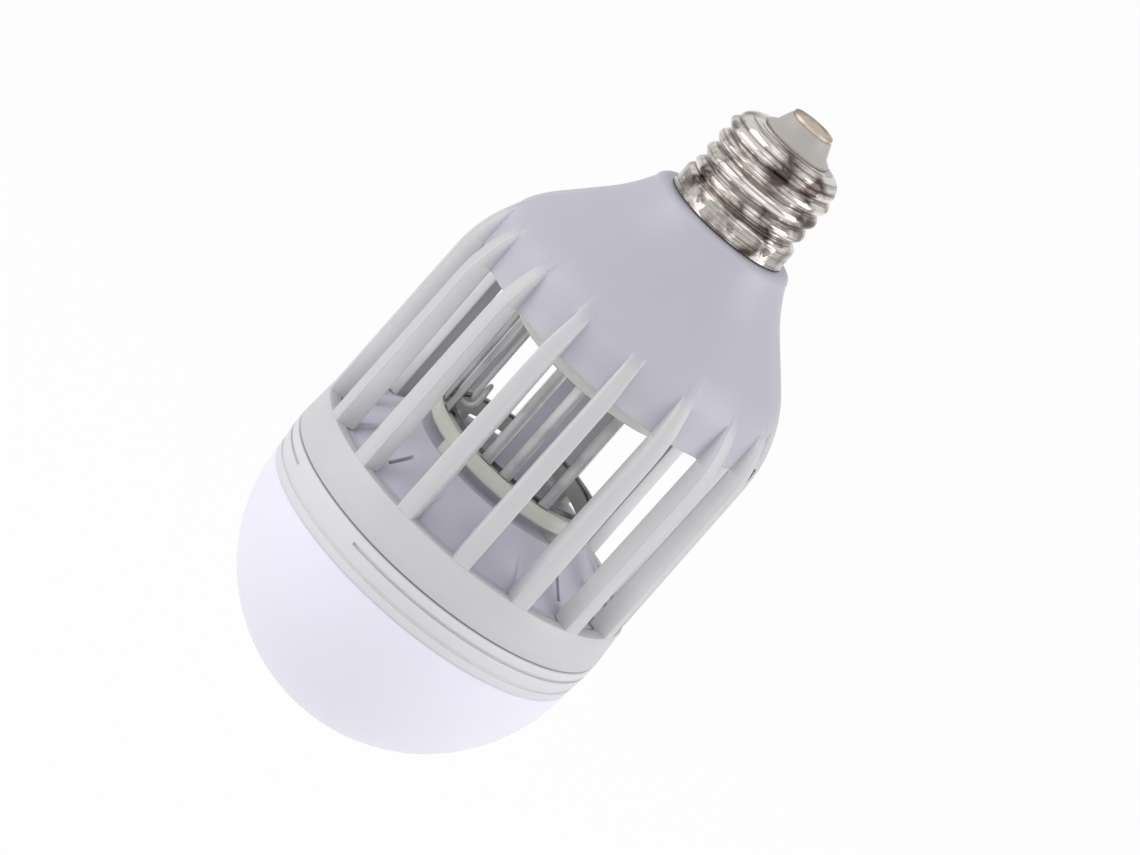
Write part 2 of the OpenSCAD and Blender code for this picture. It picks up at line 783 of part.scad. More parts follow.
// Driver board and what is soldered to it
module driver_board() {
    color("seagreen") difference() {
        translate([0, 0, z_board]) cylinder(r = board_r, h = board_t, $fn = turned_fn);
        around(standoff_n, standoff_c, standoff_a) translate([0, 0, z_board - 1])
            cylinder(r = shank_r + slip, h = board_t + 2, $fn = small_fn);
        translate([0, 0, z_board - 1]) cylinder(r = tenon_r, h = board_t + 2, $fn = small_fn);
        around(2, lead_r) translate([0, 0, z_board - 1])
            cylinder(r = bus_lead_d / 2 + slip, h = board_t + 2, $fn = small_fn);
    }
}

module board_screws() {
    color("silver") around(standoff_n, standoff_c, standoff_a)
        translate([0, 0, z_parts]) mirror([0, 0, 1]) screw_up(board_t + standoff_h);
}

module bulk_capacitor() {
    color("dimgray") translate([bulk_c[0], bulk_c[1], z_parts])
        cylinder(d = capacitor_d, h = capacitor_h, $fn = small_fn * 2);
}

module film_capacitors() {
    color("firebrick") for (i = [0, 1])
        translate([film_c[0] - film_size[0] / 2, film_c[1] - film_size[1] / 2 + i * (film_size[1] + film_gap),
            z_parts]) cube(film_size);
}

// Step up transformer: a core with its winding between two cheeks
module step_up_transformer() {
    cheek = 1.4;
    height = transformer_w - 2;
    color("goldenrod") translate([transformer_c[0], transformer_c[1], z_parts]) union() {
        translate([-transformer_w / 2, -transformer_w / 2, 0])
            cube([transformer_w, transformer_w, cheek]);
        translate([-transformer_w / 2, -transformer_w / 2, height - cheek])
            cube([transformer_w, transformer_w, cheek]);
        cylinder(d = transformer_w - 1.6, h = height, $fn = small_fn * 2);
    }
}

module choke() {
    color("saddlebrown") translate([choke_c[0], choke_c[1], z_parts]) union() {
        cylinder(r = choke_r, h = 1, $fn = small_fn * 2);
        cylinder(r = choke_r - 0.8, h = choke_h, $fn = small_fn * 2);
        translate([0, 0, choke_h - 1]) cylinder(r = choke_r, h = 1, $fn = small_fn * 2);
    }
}

module diodes() {
    color("black") for (i = [0:3])
        translate([diode_c[0] + i * diode_pitch - 1, diode_c[1], z_parts]) cube([2, 4, 2]);
}

module driver_chip() {
    color("black") translate([chip_c[0] - chip_size[0] / 2, chip_c[1] - chip_size[1] / 2, z_parts])
        cube(chip_size);
}

module fuse_resistor() {
    color("darkseagreen") translate([fuse_c[0], fuse_c[1], z_parts]) union() {
        cylinder(r = 1.5, h = fuse_h, $fn = small_fn);
        translate([0, 0, fuse_h / 3]) cylinder(r = 1.8, h = fuse_h / 2, $fn = small_fn);
    }
}

// Wires, each from where it is soldered to where it ends
module live_wire() {
    top = [0, 0, z_thread_high - insulator_depth - stem_up - slip];
    end = [live_end[0], live_end[1], z_parts + slip];
    slack = [0, 0, mains_slack];
    color("firebrick") wire(curve([top, top - slack, end + slack, end]), mains_wire_d);
}

module neutral_wire() {
    start = [root_r - cap_wall - slip - mains_wire_d / 2, 0, z_thread_low + spigot_h / 2];
    end = [neutral_end[0], neutral_end[1], z_parts + slip];
    bend = [start[0] - spigot_t - mains_wire_d, 0, z_neck - 2 * wall];
    color("royalblue") wire(curve([start, bend, end + [0, 0, mains_slack], end]), mains_wire_d);
}

module led_wires() {
    start = [0, 0, z_board - 1];
    color("white") for (side = [-1, 1])
        let (x = side * (led_wire_d / 2 + 0.1), stop = [x, 0, z_led_board - led_board_t])
            wire([start + [x, 0, 0], stop], led_wire_d);
}

// Leads from the driver through the ceiling to the inner edges of the two bus rings
module live_lead() {
    start = [lead_r, 0, z_parts + lead_up];
    stop = [lead_end_r, 0, z_upper_ring - bus_lead_d / 2 - slip];
    color("tomato") wire(concat([start], curve([
        [lead_r, 0, z_window], [lead_r, 0, stop[2]], [lead_r, 0, stop[2]], stop
    ])), bus_lead_d);
}

// The return lead hangs down inside the grid and makes one slack turn above its bus ring
module return_lead() {
    z_turn = z_lower_ring + bus_t + turn_r + 1.5;
    start = [-lead_r, 0, z_parts + lead_up];
    stop = [-lead_end_r, 0, z_lower_ring + bus_lead_d / 2 + slip];
    turn = [for (i = [0:turn_rows]) let (a = i * 360 / turn_rows)
        [-lead_r + turn_shift * i / turn_rows, turn_r - turn_r * cos(a), z_turn - turn_r * sin(a)]];
    tail = [turn[turn_rows][0], 0, z_turn];
    color("white") wire(concat(
        [start, [-lead_r, 0, z_window], [-lead_r, 0, z_turn + 12]], turn,
        [for (i = [1:wire_rows]) curve([tail, tail - [0, 0, 3], [tail[0], 0, stop[2]], stop])[i]]
    ), bus_lead_d);
}

screw_cap();
cap_insulator();
centre_contact();
cage_housing();
cage_ceiling();
ceiling_screws();
cage_floor();
grid_upper_ring();
grid_lower_ring();
live_bus_ring();
return_bus_ring();
grid_strips_live();
grid_strips_return();
uv_post();
uv_led_boards();
uv_leds();
collar();
led_board();
white_leds();
led_board_screws();
diffuser_dome();
driver_board();
board_screws();
bulk_capacitor();
film_capacitors();
step_up_transformer();
choke();
diodes();
driver_chip();
fuse_resistor();
live_wire();
neutral_wire();
led_wires();
live_lead();
return_lead();
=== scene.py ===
# %% [markdown]
# # An insect killer lamp
# The lamp screws into a lampholder and hangs cap up. A moulded bell runs down into sixteen fins, which
# keep fingers off a charged grid. Below the grid, a white lamp sits under a milky dome.
# The CAD model is loaded first. It fixes every size and place, so that nothing made here has to be fitted
# to it.

# %% Load the CAD model
import json
import math
import bpy
import bmesh
from mathutils import Matrix, Vector

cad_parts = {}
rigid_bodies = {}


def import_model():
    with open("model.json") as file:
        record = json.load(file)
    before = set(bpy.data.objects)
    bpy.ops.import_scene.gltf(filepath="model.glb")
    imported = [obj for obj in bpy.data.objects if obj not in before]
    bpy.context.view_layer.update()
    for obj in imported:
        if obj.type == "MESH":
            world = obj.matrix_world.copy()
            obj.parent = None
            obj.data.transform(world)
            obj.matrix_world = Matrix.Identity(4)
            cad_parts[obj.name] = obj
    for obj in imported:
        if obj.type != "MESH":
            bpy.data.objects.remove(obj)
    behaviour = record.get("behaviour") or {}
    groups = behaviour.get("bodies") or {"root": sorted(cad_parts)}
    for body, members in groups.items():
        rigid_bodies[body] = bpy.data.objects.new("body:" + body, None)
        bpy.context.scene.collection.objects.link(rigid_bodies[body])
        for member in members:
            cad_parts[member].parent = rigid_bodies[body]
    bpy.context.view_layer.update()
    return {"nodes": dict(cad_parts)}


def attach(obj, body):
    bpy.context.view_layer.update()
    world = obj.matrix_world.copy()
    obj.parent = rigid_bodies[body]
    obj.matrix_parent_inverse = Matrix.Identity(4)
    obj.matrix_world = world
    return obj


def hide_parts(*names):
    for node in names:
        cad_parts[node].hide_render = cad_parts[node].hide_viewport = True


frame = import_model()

nodes = frame["nodes"]
print("CAD nodes:", len(nodes))

# %% [markdown]
# ## Two small habits
# The CAD model is in metres and its drawing in millimetres, so one value turns one into the other. An
# operator works on whatever is selected, and loading leaves the CAD pieces selected. So each piece starts
# with nothing selected.

# %% Units and a clean start
MM = 0.001


def start_fresh():
    if bpy.context.object and bpy.context.object.mode != "OBJECT":
        bpy.ops.object.mode_set(mode="OBJECT")
    bpy.ops.object.select_all(action="DESELECT")


def pick(piece):
    start_fresh()
    piece.select_set(True)
    bpy.context.view_layer.objects.active = piece


def add_modifier(piece, kind, **settings):
    pick(piece)
    bpy.ops.object.modifier_add(type=kind)
    modifier = piece.modifiers[-1]
    for key, value in settings.items():
        setattr(modifier, key, value)
    bpy.ops.object.modifier_apply(modifier=modifier.name)


# %% [markdown]
# ## Helpers for the finishes
# A material is a small net of nodes. These helpers add the nodes that the finishes share: a noise, a spread
# of its values over a wanted range, a blend of two colours, a sum or a product, and a bump. The noise reads
# Object coordinates, which need no unwrapping and stay put on the piece. The last helper paints a colour over
# the base, as strongly as a value that each point of the mesh keeps.

# %% Nodes
def new_material(name):
    material = bpy.data.materials.new(name)
    material.use_nodes = True
    tree = material.node_tree
    return material, tree, tree.nodes["Principled BSDF"]


def add_noise(tree, scale, detail=2.0, stretch=(1, 1, 1), shift=0.0):
    place = tree.nodes.new("ShaderNodeTexCoord")
    mapping = tree.nodes.new("ShaderNodeMapping")
    mapping.inputs["Scale"].default_value = stretch
    mapping.inputs["Location"].default_value = (shift, 0, 0)
    noise = tree.nodes.new("ShaderNodeTexNoise")
    noise.inputs["Scale"].default_value = scale
    noise.inputs["Detail"].default_value = detail
    tree.links.new(place.outputs["Object"], mapping.inputs["Vector"])
    tree.links.new(mapping.outputs["Vector"], noise.inputs["Vector"])
    return noise


def spread(tree, source, low, high, start=0.3, end=0.7):
    scale = tree.nodes.new("ShaderNodeMapRange")
    scale.inputs["From Min"].default_value = start
    scale.inputs["From Max"].default_value = end
    scale.inputs["To Min"].default_value = low
    scale.inputs["To Max"].default_value = high
    tree.links.new(source, scale.inputs["Value"])
    return scale.outputs["Result"]


def blend_colours(tree, share, first, second):
    mix = tree.nodes.new("ShaderNodeMix")
    mix.data_type = "RGBA"
    for name, colour in (("A", first), ("B", second)):
        if isinstance(colour, tuple):
            mix.inputs[name].default_value = (*colour, 1)
        else:
            tree.links.new(colour, mix.inputs[name])
    tree.links.new(share, mix.inputs["Factor"])
    return mix.outputs["Result"]


def add_math(tree, operation, first, second):
    node = tree.nodes.new("ShaderNodeMath")
    node.operation = operation
    node.use_clamp = True
    tree.links.new(first, node.inputs[0])
    if isinstance(second, float):
        node.inputs[1].default_value = second
    else:
        tree.links.new(second, node.inputs[1])
    return node.outputs["Value"]


def add_bump(tree, shader, height, strength, distance):
    bump = tree.nodes.new("ShaderNodeBump")
    bump.inputs["Strength"].default_value = strength
    bump.inputs["Distance"].default_value = distance
    tree.links.new(height, bump.inputs["Height"])
    tree.links.new(bump.outputs["Normal"], shader.inputs["Normal"])


def over_paint(material, attribute, colour):
    tree = material.node_tree
    base = tree.nodes["Principled BSDF"].inputs["Base Color"]
    mask = tree.nodes.new("ShaderNodeAttribute")
    mask.attribute_name = attribute
    tree.links.new(blend_colours(tree, mask.outputs["Fac"], base.links[0].from_socket, colour), base)


# %% [markdown]
# ## Moulded plastic
# The bell, the fins and the collar are lavender grey plastic from a polished mould. Up close such a surface
# isn't flat: it has a faint orange peel, and its colour and gloss drift a little. Two noises do that, one
# fine for the bump and one broad for the drift. The fins, the ring and the bell just above the windows get
# a paler grey as painted light, and the sides of the fins a paler one still, as painted light against their
# shade. A dark line of painted shade lies in the seam above the collar. All are painted over the base.

# %% Plastic
def plastic(name, colour, shade, rough=(0.34, 0.42), peel=0.05, grain=900.0):
    material, tree, shader = new_material(name)
    broad = add_noise(tree, 45.0)
    fine = add_noise(tree, grain, detail=3.0)
    mixed = blend_colours(tree, spread(tree, broad.outputs["Fac"], 0, 1), colour, shade)
    tree.links.new(mixed, shader.inputs["Base Color"])
    tree.links.new(spread(tree, broad.outputs["Fac"], *rough), shader.inputs["Roughness"])
    add_bump(tree, shader, fine.outputs["Fac"], peel, 0.0002)
    return material


housing_plastic = plastic("housing_plastic", (0.46, 0.45, 0.52), (0.45, 0.44, 0.51))
# painted light: the fins, the ring and the bell just above the windows are painted paler
over_paint(housing_plastic, "thin", (0.545, 0.54, 0.56))
# painted light: the sides of the fins are painted lighter, against the shade between them
over_paint(housing_plastic, "side", (0.71, 0.705, 0.72))
collar_plastic = plastic("collar_plastic", (0.65, 0.645, 0.68), (0.635, 0.63, 0.665))
# painted shade: a dark line along the collar's top edge, in the seam
over_paint(collar_plastic, "painted_seam_shade", (0.012, 0.012, 0.014))
inner_plastic = plastic("inner_plastic", (0.58, 0.57, 0.655), (0.56, 0.55, 0.635), rough=(0.45, 0.55))
print("materials so far:", len(bpy.data.materials))

# %% [markdown]
# ## Milky dome, pale insulator and ivory rings
# The dome is opal plastic. Light enters it and comes out again nearby, so a little subsurface scattering
# softens its shading. The insulator is a harder, warmer plastic. The rings of the grid are ivory, and the
# upper one is paler.

# %% Pale plastics
dome_plastic = plastic("dome_plastic", (0.79, 0.775, 0.89), (0.785, 0.77, 0.885), rough=(0.28, 0.32))
opal = dome_plastic.node_tree.nodes["Principled BSDF"]
opal.inputs["Subsurface Weight"].default_value = 0.25
opal.inputs["Subsurface Radius"].default_value = (1.0, 1.0, 1.0)
opal.inputs["Subsurface Scale"].default_value = 0.002
insulator_plastic = plastic("insulator_plastic", (0.44, 0.42, 0.395), (0.40, 0.38, 0.36), rough=(0.3, 0.42))
ring_plastic = plastic("ring_plastic", (0.62, 0.615, 0.55), (0.56, 0.555, 0.50), rough=(0.3, 0.4))
pale_ring_plastic = plastic("pale_ring_plastic", (0.72, 0.715, 0.68), (0.68, 0.675, 0.64), rough=(0.3, 0.4))
white_coat = plastic("white_coat", (0.82, 0.82, 0.82), (0.78, 0.78, 0.79), rough=(0.35, 0.5))

# %% [markdown]
# ## Metals
# Nickel plate on drawn brass is bright, but handling and the drawing tool leave it uneven. Dull brown
# patches lie on it, and fine dark lines run round it. A noise with a high scale along Z and a low one
# across it gives lines that lie flat, and the other way round it gives the upright lines of drawn steel
# strip. The hollows of the thread are darkened as tarnish and as painted shade, the dimples, the foot and
# the mouth get painted shade, and the skirt a painted dark reflection, all painted over the base.

# %% Metal
def metal(name, colour, shade, rough, scale, stretch, scratch, streak=0.0):
    material, tree, shader = new_material(name)
    shader.inputs["Metallic"].default_value = 1.0
    lines = add_noise(tree, scale, detail=4.0, stretch=stretch)
    patches = add_noise(tree, 160.0, detail=4.0, shift=0.075)
    mixed = blend_colours(tree, spread(tree, patches.outputs["Fac"], 0, 1, 0.46, 0.64), colour, shade)
    mixed = blend_colours(tree, spread(tree, lines.outputs["Fac"], 0, streak, 0.56, 0.6), mixed, shade)
    tree.links.new(mixed, shader.inputs["Base Color"])
    tree.links.new(spread(tree, patches.outputs["Fac"], *rough), shader.inputs["Roughness"])
    add_bump(tree, shader, lines.outputs["Fac"], scratch, 0.0001)
    return material


nickel = metal("nickel_plate", (0.80, 0.745, 0.70), (0.10, 0.078, 0.066), (0.07, 0.16), 900.0,
               (0.06, 0.06, 3.0), 0.05, streak=0.6)
# the cap's dark share paints tarnish and painted shade in the thread's hollows, painted shade in the dimples,
# foot and mouth, and a painted dark reflection on the skirt
over_paint(nickel, "hollow", (0.05, 0.042, 0.036))
strip_steel = metal("strip_steel", (0.46, 0.46, 0.465), (0.35, 0.35, 0.36), (0.3, 0.42), 900.0,
                    (1, 1, 0.05), 0.25)
# the bus rings are dark steel, darkened further as painted shade round the rings and the ends of the strips
bus_steel = metal("bus_steel", (0.22, 0.22, 0.22), (0.10, 0.10, 0.10), (0.35, 0.5), 700.0, (1, 1, 1), 0.2)
screw_steel = metal("screw_steel", (0.62, 0.62, 0.62), (0.5, 0.5, 0.5), (0.3, 0.45), 700.0, (1, 1, 1), 0.1)
contact_metal = metal("contact_metal", (0.58, 0.50, 0.42), (0.30, 0.23, 0.18), (0.35, 0.55), 600.0,
                      (1, 1, 1), 0.3)
copper = metal("copper_wire", (0.72, 0.36, 0.16), (0.55, 0.25, 0.1), (0.3, 0.4), 900.0, (1, 1, 6), 0.2)

# %% [markdown]
# ## The small parts inside
# The driver is hidden, but someone may lift the bell off. Each kind of part has its own finish: green
# solder mask, black sleeve and epoxy, red dipped film, yellow tape, violet and white lamps.

# %% Finishes inside
board_green = plastic("board_green", (0.05, 0.22, 0.11), (0.04, 0.17, 0.09), rough=(0.3, 0.4))
sleeve_black = plastic("sleeve_black", (0.03, 0.03, 0.04), (0.02, 0.02, 0.025), rough=(0.25, 0.35))
epoxy_black = plastic("epoxy_black", (0.03, 0.03, 0.03), (0.04, 0.04, 0.04), rough=(0.5, 0.65), peel=0.3)
film_red = plastic("film_red", (0.45, 0.07, 0.04), (0.36, 0.05, 0.03), rough=(0.2, 0.3))
tape_yellow = plastic("tape_yellow", (0.72, 0.50, 0.08), (0.62, 0.42, 0.06), rough=(0.35, 0.5))
lacquer_green = plastic("lacquer_green", (0.14, 0.34, 0.26), (0.11, 0.28, 0.21), rough=(0.3, 0.4))
phosphor = plastic("phosphor", (0.80, 0.62, 0.14), (0.76, 0.56, 0.10), rough=(0.4, 0.5))
violet_lens = plastic("violet_lens", (0.60, 0.55, 0.78), (0.54, 0.49, 0.74), rough=(0.12, 0.2))
wire_red = plastic("wire_red", (0.55, 0.05, 0.04), (0.48, 0.04, 0.03))
wire_blue = plastic("wire_blue", (0.06, 0.12, 0.45), (0.05, 0.10, 0.38))
wire_white = plastic("wire_white", (0.78, 0.78, 0.78), (0.72, 0.72, 0.73))

dressed = {
    "cage_housing": housing_plastic, "collar": collar_plastic, "cage_ceiling": inner_plastic,
    "cage_floor": inner_plastic, "uv_post": inner_plastic, "diffuser_dome": dome_plastic,
    "cap_insulator": insulator_plastic, "centre_contact": contact_metal, "screw_cap": nickel,
    "grid_upper_ring": pale_ring_plastic, "grid_lower_ring": ring_plastic, "live_bus_ring": bus_steel,
    "return_bus_ring": bus_steel, "grid_strips_live": strip_steel, "grid_strips_return": strip_steel,
    "ceiling_screws": screw_steel, "led_board_screws": screw_steel, "board_screws": screw_steel,
    "uv_led_boards": white_coat, "led_board": white_coat, "uv_leds": violet_lens, "white_leds": phosphor,
    "driver_board": board_green, "bulk_capacitor": sleeve_black, "film_capacitors": film_red,
    "step_up_transformer": tape_yellow, "choke": copper, "diodes": epoxy_black,
    "driver_chip": epoxy_black, "fuse_resistor": lacquer_green, "live_wire": wire_red,
    "neutral_wire": wire_blue, "led_wires": wire_white, "live_lead": wire_red, "return_lead": wire_white,
}
for node, material in dressed.items():
    nodes[node].data.materials.clear()
    nodes[node].data.materials.append(material)
print("dressed CAD nodes:", len(dressed), "of", len(nodes))

# %% [markdown]
# ## Finishing a piece
# Every new piece ends the same way. It is shaded smooth except across its sharp edges, gets its material,
# rides on the one body, and takes the place of the CAD node whose form it repeats.

# %% Finish
def finish_piece(piece, name, node, angle=35):
    pick(piece)
    bpy.ops.object.transform_apply(location=True, rotation=True, scale=True)
    bpy.ops.object.shade_smooth_by_angle(angle=math.radians(angle))
    piece.name = name
    piece.data.materials.clear()
    piece.data.materials.append(dressed[node])
    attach(piece, "root")
    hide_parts(node)
    piece.data.calc_loop_triangles()
    print(name, "triangles:", len(piece.data.loop_triangles))
    return piece


# %% [markdown]
# ## Wrapping a flat pattern
# The bell with its fins is one moulding, but it is easier to see flat. A grid has one column for each step
# round the lamp and one row for each step down it. Faces are removed where the windows are, the sheet is
# extruded to give it an inner and an outer side, and only then is each point moved to its real place. The
# cap is made from a flat pattern too, so the grid and the closing of its seam are written once.

# %% Flat pattern
def flat_pattern(columns, rows):
    start_fresh()
    bpy.ops.mesh.primitive_grid_add(x_subdivisions=columns, y_subdivisions=rows, size=2)
    sheet = bpy.context.object
    for point in sheet.data.vertices:
        point.co.x = round((point.co.x + 1) / 2 * columns)
        point.co.y = round((point.co.y + 1) / 2 * rows)
    return sheet


def close_seam(sheet):
    pick(sheet)
    bpy.ops.object.mode_set(mode="EDIT")
    bpy.ops.mesh.select_all(action="SELECT")
    bpy.ops.mesh.remove_doubles(threshold=0.000005)
    bpy.ops.mesh.normals_make_consistent(inside=False)
    bpy.ops.object.mode_set(mode="OBJECT")


# %% [markdown]
# ## The outline of the housing
# Going down from the cap, the outline is a rounded rim, a hollow curve, a straight slope and a round
# shoulder, which runs into nearly upright fins and the ring below them. Each row of the pattern is one
# point of that outline. It is kept with the point inside the wall that faces it.

# %% Outline rows
NECK, RIM, NECK_R = -27.2, 2.0, 17.35  # level and radius of the neck, and the rounding of its rim
# each curve has a centre, as radius and level, its own radius, and the angles where it starts or ends
HOLLOW, HOLLOW_R, LEAN_A, SLOPE_A = (54.764, -10.117), 42.0, 27.02, 42.19
SHOULDER, SHOULDER_R, TIP_A = (7.8, -67.0), 31.0, 29.05
Z_WINDOW, Z_RING, Z_SEAM = -62.2, -106.0, -115.0  # tops of the windows, top of the ring and its foot
WALL, RECESS_R, FIN_IN_R, RING_IN_R = 2.0, 34.9, 34.5, 36.1
FIN_DRAFT, RING_DRAFT, FOOT_CUT = 0.5, 0.7, 0.15  # fins and ring widen downwards, and the foot is cut back
RING_H, RING_TOP_R = Z_RING - Z_SEAM, SHOULDER[0] + SHOULDER_R + FIN_DRAFT
SPIGOT_R, SPIGOT_IN, SPIGOT_H = 12.95, 11.35, 4.0  # the tube that the cap is staked to
GROOVE_R, GROOVE_DEPTH, GROOVE_FLARE = 14.1, 0.5, 0.05  # round the foot of the cap
EDGE = 0.55  # radius of a fin's edges
CORNER = 0.293  # share of a corner's radius that is cut at 45 degrees
FIN_TIP = -51.95


def on_arc(centre, radius, angle):
    a = math.radians(angle)
    return centre[0] + radius * math.cos(a), centre[1] + radius * math.sin(a)


def wall_point(outer, normal_angle):
    a = math.radians(normal_angle)
    return min(outer[0] - WALL * math.cos(a), RECESS_R - WALL), outer[1] - WALL * math.sin(a)


rows = []  # (outer radius, outer level, inner radius, inner level)


def add_row(outer, normal_angle):
    inner = wall_point(outer, normal_angle)
    rows.append((*outer, *inner))


rows.append((SPIGOT_R, NECK + SPIGOT_H, SPIGOT_IN, NECK + SPIGOT_H))
for radius, drop in ((SPIGOT_R, GROOVE_DEPTH), (GROOVE_R, GROOVE_DEPTH), (GROOVE_R + GROOVE_FLARE, 0.0)):
    rows.append((radius, NECK - drop, SPIGOT_IN, NECK - 1.2))
rows.append((NECK_R - RIM, NECK, SPIGOT_IN + 2.0, NECK - WALL))
for step in range(1, 6):
    angle = 90 - step * 18
    add_row(on_arc((NECK_R - RIM, NECK - RIM), RIM, angle), angle * 0.7)
for step in range(1, 9):
    angle = 180 + LEAN_A + (SLOPE_A - LEAN_A) * step / 8
    add_row(on_arc(HOLLOW, HOLLOW_R, angle), angle - 180)
high, low = on_arc(HOLLOW, HOLLOW_R, 180 + SLOPE_A), on_arc(SHOULDER, SHOULDER_R, SLOPE_A)
for step in (1, 2, 3):
    share = step / 3
    add_row((high[0] + (low[0] - high[0]) * share, high[1] + (low[1] - high[1]) * share), SLOPE_A)
for step in range(1, 7):
    angle = SLOPE_A - (SLOPE_A - TIP_A) * step / 6
    add_row(on_arc(SHOULDER, SHOULDER_R, angle), angle)
for level in (-53.0, -54.3, -55.8, -57.4, -59.0, -60.6, Z_WINDOW + EDGE, Z_WINDOW + EDGE * CORNER,
              Z_WINDOW):
    angle = math.degrees(math.asin((level - SHOULDER[1]) / SHOULDER_R))
    outer = on_arc(SHOULDER, SHOULDER_R, angle)
    rows.append((*outer, RECESS_R - WALL, level))
first_window_row = len(rows)
for level in (Z_WINDOW - 0.12, -64.0, -67.0, -80.0, -93.0, Z_RING):
    share = max(0.0, (SHOULDER[1] - level) / (SHOULDER[1] - Z_RING))
    angle = math.degrees(math.asin(max(0.0, level - SHOULDER[1]) / SHOULDER_R))
    outer_r = SHOULDER[0] + SHOULDER_R * math.cos(math.radians(angle)) + FIN_DRAFT * share
    rows.append((outer_r, level, FIN_IN_R, level))
last_window_row = len(rows) - 1
for drop in (EDGE * CORNER, EDGE, 3.0, 6.0, RING_H - 0.25, RING_H):
    outer_r = RING_TOP_R + RING_DRAFT * drop / RING_H - (FOOT_CUT if drop == RING_H else 0)
    rows.append((outer_r, Z_RING - drop, RING_IN_R, Z_RING - drop))
print("rows of the pattern:", len(rows), "windows from row", first_window_row, "to", last_window_row)

# %% [markdown]
# ## The columns of one fin
# A fin is a flat blade, so its columns are set by their distance from its middle, not by an angle. The
# outermost ones draw a round edge. Between the fins the columns share out the angle that is left. A fin
# narrows upwards, and its edge fades into the bell where the shoulder turns in. A column of a fin holds
# its side, how far in from the edge it lies and how far it drops, both as shares of the edge's radius.

# %% Column places
FINS = 16
SECTOR = 360 / FINS
FIN_COLUMNS = [(-1, 0.0, 1.0), (-1, CORNER, CORNER), (-1, 1.0, 0.0), (0, 0.0, 0.0),
               (1, 1.0, 0.0), (1, CORNER, CORNER), (1, 0.0, 1.0)]
GAP_COLUMNS = 6
COLUMNS = len(FIN_COLUMNS) + GAP_COLUMNS + 1
FIN_FOOT_W, FIN_W, FIN_TIP_W, FIN_LEAST_W, FIN_OVER = 4.2, 3.5, 2.6, 2.2, 2
BLEND = 0.75  # how softly the bell gives way to the recess between the fins


def fin_width(level):
    top, foot = Z_WINDOW + FIN_OVER, Z_RING - FIN_OVER
    if level < top:
        return FIN_FOOT_W + (FIN_W - FIN_FOOT_W) * (level - foot) / (top - foot)
    return max(FIN_LEAST_W, FIN_W + (FIN_TIP_W - FIN_W) * (level - top) / (FIN_TIP - Z_WINDOW))


def soft_min(a, b, softness):
    return (a + b - math.sqrt((a - b) ** 2 + softness ** 2)) / 2


def edge_cut(row, corner_row, next_row):
    return {corner_row: 1.0, next_row: CORNER}.get(row, 0.0) * EDGE


def turned(x, y, z, angle):
    a = math.radians(angle)
    return Vector((x * math.cos(a) - y * math.sin(a), x * math.sin(a) + y * math.cos(a), z)) * MM


def housing_place(column, row, side):
    outer_r, outer_z, inner_r, inner_z = rows[row]
    sector, k = divmod(column, COLUMNS)
    fin_angle = SECTOR / 2 + sector * SECTOR
    above, below = row < first_window_row, row > last_window_row
    half = fin_width(outer_z) / 2
    # above the windows the bell lies behind the fins, and where that step is small, so is a fin's edge
    recess = soft_min(outer_r, RECESS_R, BLEND) if above else outer_r
    step = outer_r - recess
    edge = min(EDGE, step * 0.8) if above else EDGE
    top_cut = edge_cut(row, first_window_row - 1, first_window_row - 2)
    ring_cut = edge_cut(row, last_window_row, last_window_row + 1)
    if k < len(FIN_COLUMNS):
        sign, in_from_edge, drop = FIN_COLUMNS[k]
        r_out = outer_r - (ring_cut if below else drop * edge)
        r_in = inner_r + (0.0 if above or below else drop * EDGE)
        r, z = (r_out, outer_z) if side == 0 else (r_in, inner_z)
        y = max(-r, min(r, sign * (half - in_from_edge * EDGE)))
        return turned(math.sqrt(max(0.0, r * r - y * y)), y, z, fin_angle)
    foot_gap = 0.25 if above and step > 0.4 else 0.6
    foot = math.degrees(math.asin((half + foot_gap) / outer_r))
    angle = foot + (SECTOR - 2 * foot) * (k - len(FIN_COLUMNS)) / GAP_COLUMNS
    r_out = recess - top_cut - ring_cut
    r_in = (RING_IN_R if row == last_window_row else inner_r) + top_cut + ring_cut
    r, z = (r_out, outer_z) if side == 0 else (r_in, inner_z)
    return turned(r, 0, z, fin_angle + angle)


# %% [markdown]
# ## Cutting the windows
# The faces between two fins, from the tops of the windows to the ring, are deleted. Extruding the sheet
# that is left gives the inner side and the walls between the two.

# %% Windows
ALL_COLUMNS = FINS * COLUMNS
sheet = flat_pattern(ALL_COLUMNS, len(rows) - 1)
shape = bmesh.new()
shape.from_mesh(sheet.data)
gone = []
for face in shape.faces:
    middle = face.calc_center_median()
    if first_window_row - 1 < middle.y < last_window_row and middle.x % COLUMNS > len(FIN_COLUMNS) - 1:
        gone.append(face)
bmesh.ops.delete(shape, geom=gone, context="FACES")
shape.to_mesh(sheet.data)
shape.free()
pick(sheet)
bpy.ops.object.mode_set(mode="EDIT")
bpy.ops.mesh.select_all(action="SELECT")
bpy.ops.mesh.extrude_region_move(TRANSFORM_OT_translate={"value": (0, 0, -1)})
bpy.ops.object.mode_set(mode="OBJECT")
print("window faces cut:", len(gone))

# %% [markdown]
# ## Wrapping the sheet
# The walls along the seam would end up inside the moulding, so they go before the two ends are merged.
# Each point then moves from its column and row to its real place. On the way it gets two shares of
# painted light: a paler grey for the fins, the ring and the bell just above the windows, and a lighter one
# for the sides of the fins, against the shade between them.

